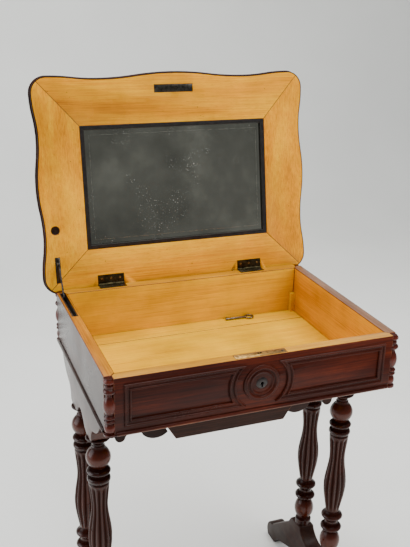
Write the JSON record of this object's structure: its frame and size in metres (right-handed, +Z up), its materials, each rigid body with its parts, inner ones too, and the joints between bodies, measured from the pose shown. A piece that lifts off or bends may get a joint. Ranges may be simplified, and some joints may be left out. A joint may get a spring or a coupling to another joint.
{
  "type": "work table",
  "caption": "Shallow-case work table with a hinged mirror lid, corner balusters and a hanging drawer, on turned and fluted trestle legs with scrolled feet.",
  "frame": {"origin": "on the floor, under the middle of the whole table with its lid open", "axes": "+X right along the front, +Y from the front to the back, +Z up"},
  "size_m": [0.581, 0.5011, 1.1282],
  "materials": {
    "mahogany": "satin, with a soft old polish",
    "lining_wood": "satin, honey coloured and worn",
    "drawer_wood": "matt, unpolished",
    "black_slip": "ebonised satin",
    "mirror": "old silvering with dark spots",
    "backing_board": "rough sawn",
    "bronze": "darkened brass",
    "lock_brass": "worn brass",
    "steel": "dull, slightly rusted",
    "dark_escutcheon": "dark satin"
  },
  "bodies": {
    "table": {"base_bead_back": "mahogany", "base_bead_front": "mahogany", "base_bead_left": "mahogany", "base_bead_right": "mahogany", "case_back": "mahogany", "case_floor": "lining_wood", "case_front": "mahogany", "case_left": "mahogany", "case_right": "mahogany", "corner_baluster_back_left": "mahogany", "corner_baluster_back_right": "mahogany", "corner_baluster_front_left": "mahogany", "corner_baluster_front_right": "mahogany", "drawer_runners": "drawer_wood", "foot_left": "mahogany", "foot_right": "mahogany", "front_frame_left": "mahogany", "front_frame_right": "mahogany", "front_roundel": "mahogany", "hinge_leaves_case": "bronze", "hinge_pins": "bronze", "keyhole_escutcheon": "dark_escutcheon", "leg_back_left": "mahogany", "leg_back_right": "mahogany", "leg_bracket_back_left": "mahogany", "leg_bracket_back_right": "mahogany", "leg_bracket_front_left": "mahogany", "leg_bracket_front_right": "mahogany", "leg_front_left": "mahogany", "leg_front_right": "mahogany", "lock_case": "steel", "lock_plate": "lock_brass", "stay_channel": "steel", "stretcher": "mahogany", "tray_posts": "lining_wood", "trestle_head_left": "mahogany", "trestle_head_right": "mahogany"},
    "lid": {"hinge_leaves_lid": "bronze", "lid_lining_back": "lining_wood", "lid_lining_front": "lining_wood", "lid_lining_left": "lining_wood", "lid_lining_right": "lining_wood", "lid_top": "mahogany", "mirror_backing": "backing_board", "mirror_glass": "mirror", "mirror_slip": "black_slip", "stay_bracket": "steel", "strike_plate": "lock_brass"},
    "stay": {"stay_arm": "steel"},
    "drawer": {"drawer_back": "drawer_wood", "drawer_bottom": "drawer_wood", "drawer_cleats": "drawer_wood", "drawer_front": "mahogany", "drawer_side_left": "drawer_wood", "drawer_side_right": "drawer_wood"},
    "bolt": {"lock_bolt": "steel"},
    "key": {"case_key": "steel"}
  },
  "joints": [
    {"name": "lid_hinge", "type": "hinge", "parent": "table", "child": "lid", "pos_m": [0, 0.15514, 0.7162], "axis": [1, 0, 0], "range_deg": [0, 100.4]},
    {"name": "stay_arm_pivot", "type": "hinge", "parent": "lid", "child": "stay", "pos_m": [-0.26, 0.15982, 0.76719], "axis": [1, 0, 0], "range_deg": [-156.6, 0]},
    {"name": "drawer_slide", "type": "slide", "parent": "table", "child": "drawer", "axis": [0, -1, 0], "range_m": [0, 0.13]},
    {"name": "lock_bolt_slide", "type": "slide", "parent": "table", "child": "bolt", "axis": [1, 0, 0], "range_m": [0, 0.006]},
    {"name": "key_lift", "type": "slide", "parent": "table", "child": "key", "axis": [0, 0, 1], "range_m": [0, 0.09]}
  ],
  "couplings": [
    {"joint": "stay_arm_pivot", "follows": "lid_hinge", "ratio": -1.5585}
  ]
}
